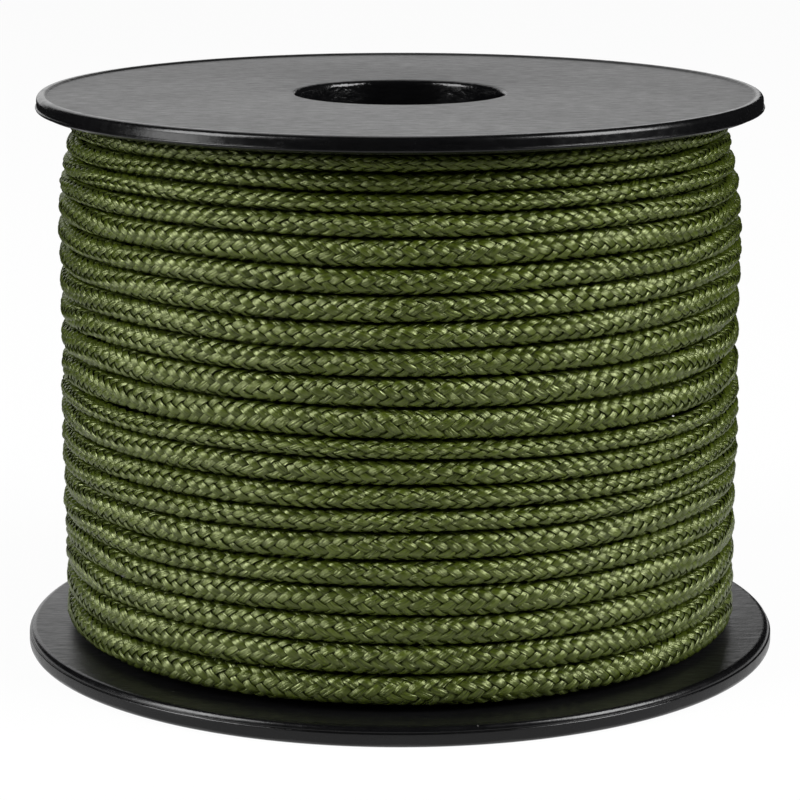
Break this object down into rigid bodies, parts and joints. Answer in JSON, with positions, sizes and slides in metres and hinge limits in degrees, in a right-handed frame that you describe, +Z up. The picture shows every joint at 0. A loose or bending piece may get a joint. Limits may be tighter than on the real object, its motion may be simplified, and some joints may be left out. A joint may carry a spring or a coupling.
{
  "type": "cord spool",
  "caption": "Flanged plastic spool standing on its lower flange, with a through bore and a full winding of olive green braided cord.",
  "frame": {"origin": "centre of the base, on the surface that the spool stands on", "axes": "+Z up along the bore axis; -Y towards the front, +Y where the outer layer's ends turn down"},
  "size_m": [0.1132, 0.1132, 0.0835],
  "materials": {
    "flange_plastic": "fine grained black moulding, satin at the rim",
    "barrel_plastic": "smooth black moulding",
    "cord": "braided multifilament with a satin sheen"
  },
  "bodies": {
    "root": {"lower_flange": "flange_plastic", "barrel": "barrel_plastic", "upper_flange": "flange_plastic", "cord_start": "cord", "cord_core": "cord", "cord_winding": "cord"}
  },
  "joints": []
}
